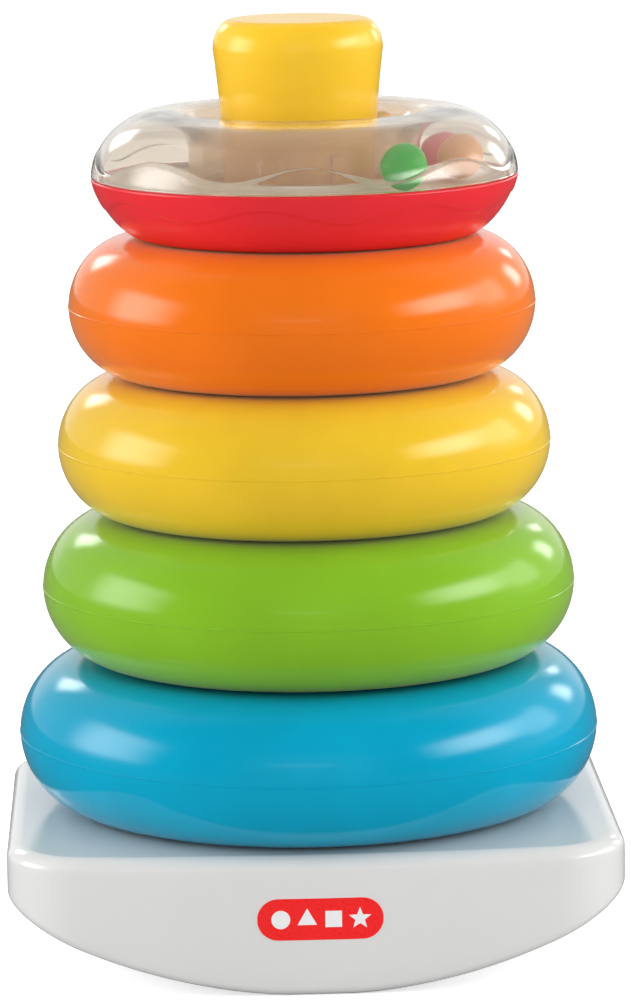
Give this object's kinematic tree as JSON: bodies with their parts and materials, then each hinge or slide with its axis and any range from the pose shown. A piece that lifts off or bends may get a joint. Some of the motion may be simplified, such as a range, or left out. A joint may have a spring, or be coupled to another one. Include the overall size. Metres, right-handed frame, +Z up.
{
  "type": "stacking ring toy",
  "caption": "Rocker-based stacking toy: a flared post holds graded hollow rings that lift off, topped by a clear rattle ring with loose beads.",
  "frame": {"origin": "on the surface the toy stands on, under the middle of the keel, on the post's axis", "axes": "+Z up along the post; -Y towards the front face that carries the nameplate; +X to its right, across the rocking direction"},
  "size_m": [0.133, 0.128, 0.2027],
  "materials": {
    "white_shell": "glossy, light moulding haze",
    "white_bottom": "satin",
    "post_yellow": "glossy",
    "label_red": "glossy print",
    "screw_steel": "zinc plated",
    "ring_blue": "glossy",
    "ring_green": "glossy",
    "ring_yellow": "glossy",
    "ring_orange": "glossy",
    "rattle_red": "glossy",
    "rattle_floor": "satin, translucent look",
    "rattle_clear": "clear, polished",
    "bead_blue": "satin",
    "bead_green": "satin",
    "bead_orange": "satin",
    "bead_pink": "satin",
    "bead_yellow": "satin",
    "bead_red": "satin"
  },
  "bodies": {
    "base": {"base_shell": "white_shell", "base_bottom": "white_bottom", "post": "post_yellow", "front_label": "label_red", "base_screw_1": "screw_steel", "base_screw_2": "screw_steel", "base_screw_3": "screw_steel", "base_screw_4": "screw_steel", "post_screw_1": "screw_steel", "post_screw_2": "screw_steel", "post_screw_3": "screw_steel"},
    "ring_blue": {"ring_blue": "ring_blue"},
    "ring_green": {"ring_green": "ring_green"},
    "ring_yellow": {"ring_yellow": "ring_yellow"},
    "ring_orange": {"ring_orange": "ring_orange"},
    "rattle_ring": {"rattle_lower_shell": "rattle_red", "rattle_floor": "rattle_floor", "rattle_cover": "rattle_clear"},
    "bead_green": {"bead_green": "bead_green"},
    "bead_orange": {"bead_orange": "bead_orange"},
    "bead_pink": {"bead_pink": "bead_pink"},
    "bead_yellow": {"bead_yellow": "bead_yellow"},
    "bead_red": {"bead_red": "bead_red"},
    "bead_blue": {"bead_blue": "bead_blue"}
  },
  "joints": [
    {"name": "blue_ring_lift", "type": "slide", "parent": "base", "child": "ring_blue", "axis": [0, 0, 1], "range_m": [0, 0.18]},
    {"name": "green_ring_lift", "type": "slide", "parent": "ring_blue", "child": "ring_green", "axis": [0, 0, 1], "range_m": [0, 0.147]},
    {"name": "yellow_ring_lift", "type": "slide", "parent": "ring_green", "child": "ring_yellow", "axis": [0, 0, 1], "range_m": [0, 0.115]},
    {"name": "orange_ring_lift", "type": "slide", "parent": "ring_yellow", "child": "ring_orange", "axis": [0, 0, 1], "range_m": [0, 0.085]},
    {"name": "rattle_ring_lift", "type": "slide", "parent": "ring_orange", "child": "rattle_ring", "axis": [0, 0, 1], "range_m": [0, 0.055]},
    {"name": "green_bead_roll", "type": "hinge", "parent": "rattle_ring", "child": "bead_green", "pos_m": [0.001, 0, 0.1689], "axis": [0, 0, 1], "range_deg": [-86.5, 12]},
    {"name": "orange_bead_roll", "type": "hinge", "parent": "rattle_ring", "child": "bead_orange", "pos_m": [0.001, 0, 0.1689], "axis": [0, 0, 1], "range_deg": [-12, 9]},
    {"name": "pink_bead_roll", "type": "hinge", "parent": "rattle_ring", "child": "bead_pink", "pos_m": [0.001, 0, 0.1689], "axis": [0, 0, 1], "range_deg": [-9, 8]},
    {"name": "yellow_bead_roll", "type": "hinge", "parent": "rattle_ring", "child": "bead_yellow", "pos_m": [0.001, 0, 0.1689], "axis": [0, 0, 1], "range_deg": [-8, 5]},
    {"name": "red_bead_roll", "type": "hinge", "parent": "rattle_ring", "child": "bead_red", "pos_m": [0.001, 0, 0.1689], "axis": [0, 0, 1], "range_deg": [-5, 5.5]},
    {"name": "blue_bead_roll", "type": "hinge", "parent": "rattle_ring", "child": "bead_blue", "pos_m": [0.001, 0, 0.1689], "axis": [0, 0, 1], "range_deg": [-5.5, 86.5]}
  ]
}
